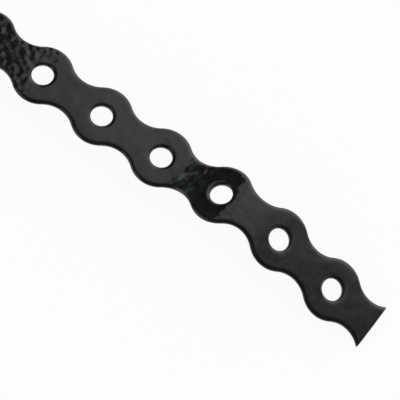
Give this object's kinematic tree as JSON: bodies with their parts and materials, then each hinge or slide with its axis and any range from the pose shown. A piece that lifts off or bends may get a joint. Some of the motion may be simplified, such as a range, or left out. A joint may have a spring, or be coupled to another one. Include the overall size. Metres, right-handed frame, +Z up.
{
  "type": "perforated steel strap",
  "caption": "Wavy-edged perforated steel strap in a black plastic coat, a round hole in each lobe, lying as a low hump with its sheared end bent down.",
  "frame": {"origin": "middle of the strap's box in plan, on the floor that it lies on", "axes": "+X along the strap towards the sheared, bent-down end, +Y across it, +Z up"},
  "size_m": [0.496, 0.0178, 0.0185],
  "materials": {
    "coat": "gloss"
  },
  "bodies": {
    "root": {"strap": "coat"}
  },
  "joints": []
}
